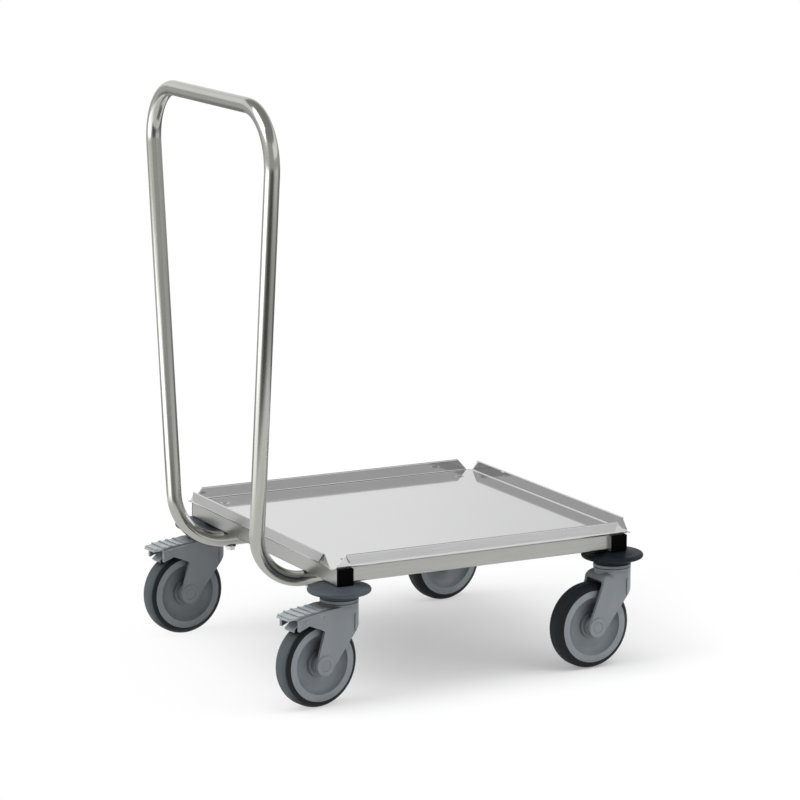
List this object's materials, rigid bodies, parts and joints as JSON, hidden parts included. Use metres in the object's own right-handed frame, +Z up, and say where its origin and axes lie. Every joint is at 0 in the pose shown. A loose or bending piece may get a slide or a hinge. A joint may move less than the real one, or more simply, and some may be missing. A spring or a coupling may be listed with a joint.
{
  "type": "dish rack dolly",
  "caption": "Square stainless deck with low folded lips on a tube frame, a tall bent-tube push handle and swivel casters with bumper discs, the rear ones braked.",
  "frame": {"origin": "on the floor, under the middle of the outline of the whole dolly", "axes": "+Z up, +X the way the dolly is pushed, with the handle at -X, and +Y to the left of the person who pushes it"},
  "size_m": [0.5875, 0.538, 0.839],
  "materials": {
    "deck_steel": "polished",
    "frame_steel": "satin",
    "handle_steel": "satin",
    "zinc_steel": "satin",
    "black_plastic": "matte",
    "bumper_plastic": "matte",
    "fork_plastic": "satin",
    "rim_plastic": "satin",
    "pedal_plastic": "satin",
    "axle_steel": "satin",
    "tyre_rubber": "matte",
    "pad_rubber": "matte"
  },
  "bodies": {
    "chassis": {"deck_tray": "deck_steel", "rear_cross_tube": "frame_steel", "front_cross_tube": "frame_steel", "left_side_rail": "frame_steel", "right_side_rail": "frame_steel", "tube_end_plugs": "black_plastic", "left_handle_leg": "handle_steel", "right_handle_leg": "handle_steel", "handle_top_bar": "handle_steel", "handle_end_plugs": "black_plastic", "handle_bolts": "zinc_steel", "handle_nuts": "zinc_steel", "stem_nuts": "zinc_steel", "kingpin_collars": "zinc_steel", "rear_right_bumper": "bumper_plastic", "rear_right_swivel_plate": "zinc_steel", "rear_right_swivel_balls": "zinc_steel", "rear_left_bumper": "bumper_plastic", "rear_left_swivel_plate": "zinc_steel", "rear_left_swivel_balls": "zinc_steel", "front_right_bumper": "bumper_plastic", "front_right_swivel_plate": "zinc_steel", "front_right_swivel_balls": "zinc_steel", "front_left_bumper": "bumper_plastic", "front_left_swivel_plate": "zinc_steel", "front_left_swivel_balls": "zinc_steel"},
    "rear_right_caster": {"rear_right_fork": "fork_plastic", "rear_right_axle": "axle_steel", "rear_right_axle_nut": "axle_steel", "rear_right_brake_pins": "zinc_steel", "rear_right_brake_spring": "zinc_steel"},
    "rear_right_wheel": {"rear_right_rim": "rim_plastic", "rear_right_tyre": "tyre_rubber", "rear_right_bearings": "zinc_steel"},
    "rear_right_pedal": {"rear_right_pedal": "pedal_plastic", "rear_right_brake_pad": "pad_rubber"},
    "rear_right_release": {"rear_right_release_lever": "pedal_plastic"},
    "rear_left_caster": {"rear_left_fork": "fork_plastic", "rear_left_axle": "axle_steel", "rear_left_axle_nut": "axle_steel", "rear_left_brake_pins": "zinc_steel", "rear_left_brake_spring": "zinc_steel"},
    "rear_left_wheel": {"rear_left_rim": "rim_plastic", "rear_left_tyre": "tyre_rubber", "rear_left_bearings": "zinc_steel"},
    "rear_left_pedal": {"rear_left_pedal": "pedal_plastic", "rear_left_brake_pad": "pad_rubber"},
    "rear_left_release": {"rear_left_release_lever": "pedal_plastic"},
    "front_right_caster": {"front_right_fork": "fork_plastic", "front_right_axle": "axle_steel", "front_right_axle_nut": "axle_steel"},
    "front_right_wheel": {"front_right_rim": "rim_plastic", "front_right_tyre": "tyre_rubber", "front_right_bearings": "zinc_steel"},
    "front_left_caster": {"front_left_fork": "fork_plastic", "front_left_axle": "axle_steel", "front_left_axle_nut": "axle_steel"},
    "front_left_wheel": {"front_left_rim": "rim_plastic", "front_left_tyre": "tyre_rubber", "front_left_bearings": "zinc_steel"}
  },
  "joints": [
    {"name": "rear_right_swivel", "type": "hinge", "parent": "chassis", "child": "rear_right_caster", "pos_m": [-0.19125, -0.224, 0.144], "axis": [0, 0, 1], "continuous": true},
    {"name": "rear_right_roll", "type": "hinge", "parent": "rear_right_caster", "child": "rear_right_wheel", "pos_m": [-0.23075, -0.23026, 0.0625], "axis": [0.1564, -0.9877, 0], "continuous": true},
    {"name": "rear_right_brake", "type": "hinge", "parent": "rear_right_caster", "child": "rear_right_pedal", "pos_m": [-0.23174, -0.23041, 0.131], "axis": [0.1564, -0.9877, 0], "range_deg": [0, 6]},
    {"name": "rear_right_brake_release", "type": "hinge", "parent": "rear_right_caster", "child": "rear_right_release", "pos_m": [-0.26236, -0.23526, 0.129], "axis": [-0.1564, 0.9877, 0], "range_deg": [0, 8]},
    {"name": "rear_left_swivel", "type": "hinge", "parent": "chassis", "child": "rear_left_caster", "pos_m": [-0.19125, 0.224, 0.144], "axis": [0, 0, 1], "continuous": true},
    {"name": "rear_left_roll", "type": "hinge", "parent": "rear_left_caster", "child": "rear_left_wheel", "pos_m": [-0.2311, 0.22051, 0.0625], "axis": [0.0872, -0.9962, 0], "continuous": true},
    {"name": "rear_left_brake", "type": "hinge", "parent": "rear_left_caster", "child": "rear_left_pedal", "pos_m": [-0.23209, 0.22043, 0.131], "axis": [0.0872, -0.9962, 0], "range_deg": [0, 6]},
    {"name": "rear_left_brake_release", "type": "hinge", "parent": "rear_left_caster", "child": "rear_left_release", "pos_m": [-0.26297, 0.21773, 0.129], "axis": [-0.0872, 0.9962, 0], "range_deg": [0, 8]},
    {"name": "front_right_swivel", "type": "hinge", "parent": "chassis", "child": "front_right_caster", "pos_m": [0.24875, -0.224, 0.144], "axis": [0, 0, 1], "continuous": true},
    {"name": "front_right_roll", "type": "hinge", "parent": "front_right_caster", "child": "front_right_wheel", "pos_m": [0.20885, -0.22679, 0.0625], "axis": [0.0698, -0.9976, 0], "continuous": true},
    {"name": "front_left_swivel", "type": "hinge", "parent": "chassis", "child": "front_left_caster", "pos_m": [0.24875, 0.224, 0.144], "axis": [0, 0, 1], "continuous": true},
    {"name": "front_left_roll", "type": "hinge", "parent": "front_left_caster", "child": "front_left_wheel", "pos_m": [0.20905, 0.21912, 0.0625], "axis": [0.1219, -0.9925, 0], "continuous": true}
  ]
}
